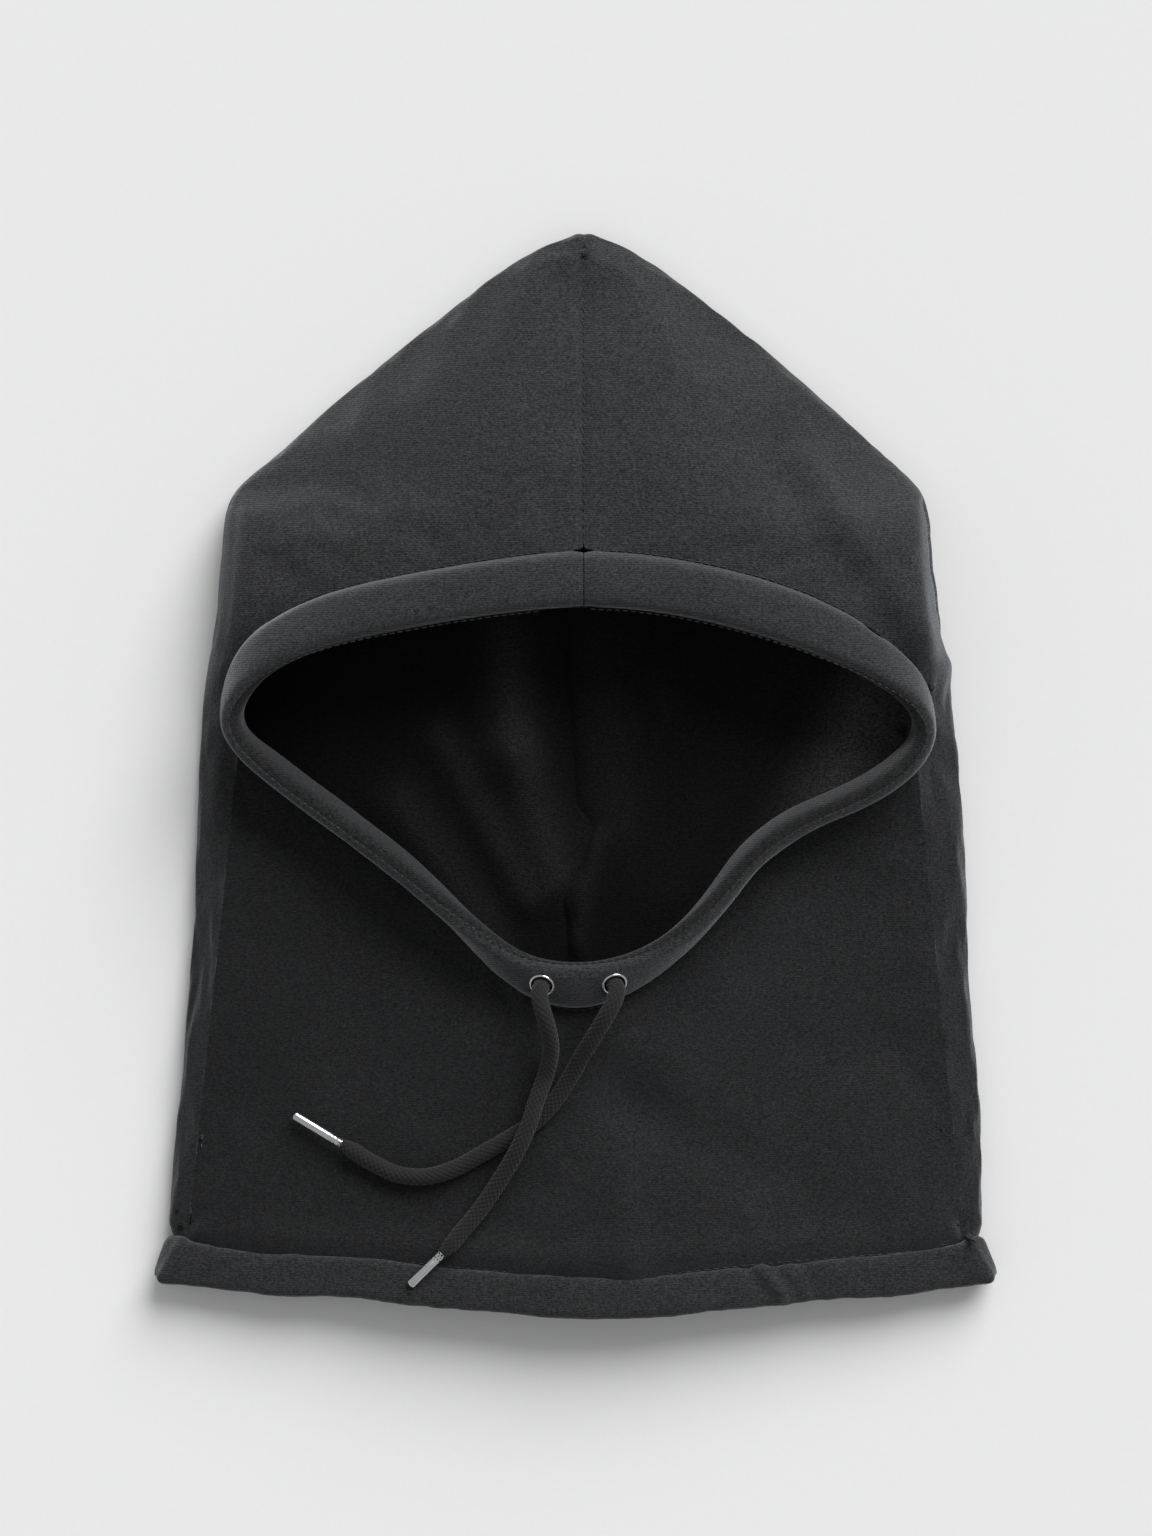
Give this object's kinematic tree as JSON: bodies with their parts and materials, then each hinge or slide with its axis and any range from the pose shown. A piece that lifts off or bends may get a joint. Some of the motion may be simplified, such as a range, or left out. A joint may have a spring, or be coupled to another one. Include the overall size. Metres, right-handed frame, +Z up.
{
  "type": "hooded drawstring balaclava",
  "caption": "Hooded fleece balaclava lying on its back: seamed crown, padded cord channel round the face opening, metal-tipped drawcord, lined open neck with a folded hem.",
  "frame": {"origin": "middle of the bounding box's bottom face, without the free drawcord ends and their aglets", "axes": "+Z up out of the face opening as it lies on its back, +Y towards the crown's point, +X to the viewer's right"},
  "size_m": [0.3422, 0.438, 0.0546],
  "materials": {
    "fleece": "matte brushed charcoal fleece jersey",
    "lining": "matte black knit lining",
    "cord": "round braided cotton cord",
    "gunmetal": "polished gunmetal",
    "thread": "black polyester sewing thread"
  },
  "bodies": {
    "hood": {"hood_left_panel": "fleece", "hood_right_panel": "fleece", "neck_front_panel": "fleece", "face_casing": "fleece", "hem_front_band": "fleece", "hem_back_band": "fleece", "hood_left_lining": "lining", "hood_right_lining": "lining", "neck_front_lining": "lining", "face_facing": "lining", "drawcord_in_channel": "cord", "eyelet_left": "gunmetal", "eyelet_right": "gunmetal", "casing_stitching": "thread", "edge_stitching": "thread", "crown_stitching": "thread", "hem_stitching": "thread"},
    "left_cord_end": {"drawcord_left_end": "cord", "aglet_left": "gunmetal"},
    "right_cord_end": {"drawcord_right_end": "cord", "aglet_right": "gunmetal"}
  },
  "joints": [
    {"name": "left_cord_pull", "type": "slide", "parent": "hood", "child": "left_cord_end", "axis": [0, -0.999, -0.0447], "range_m": [-0.03, 0.03], "deforming": ["drawcord_left_end"]},
    {"name": "right_cord_pull", "type": "slide", "parent": "hood", "child": "right_cord_end", "axis": [0, -0.9998, 0.02], "range_m": [-0.03, 0.03], "deforming": ["drawcord_right_end"]}
  ],
  "couplings": [
    {"joint": "right_cord_pull", "follows": "left_cord_pull", "ratio": -1}
  ]
}
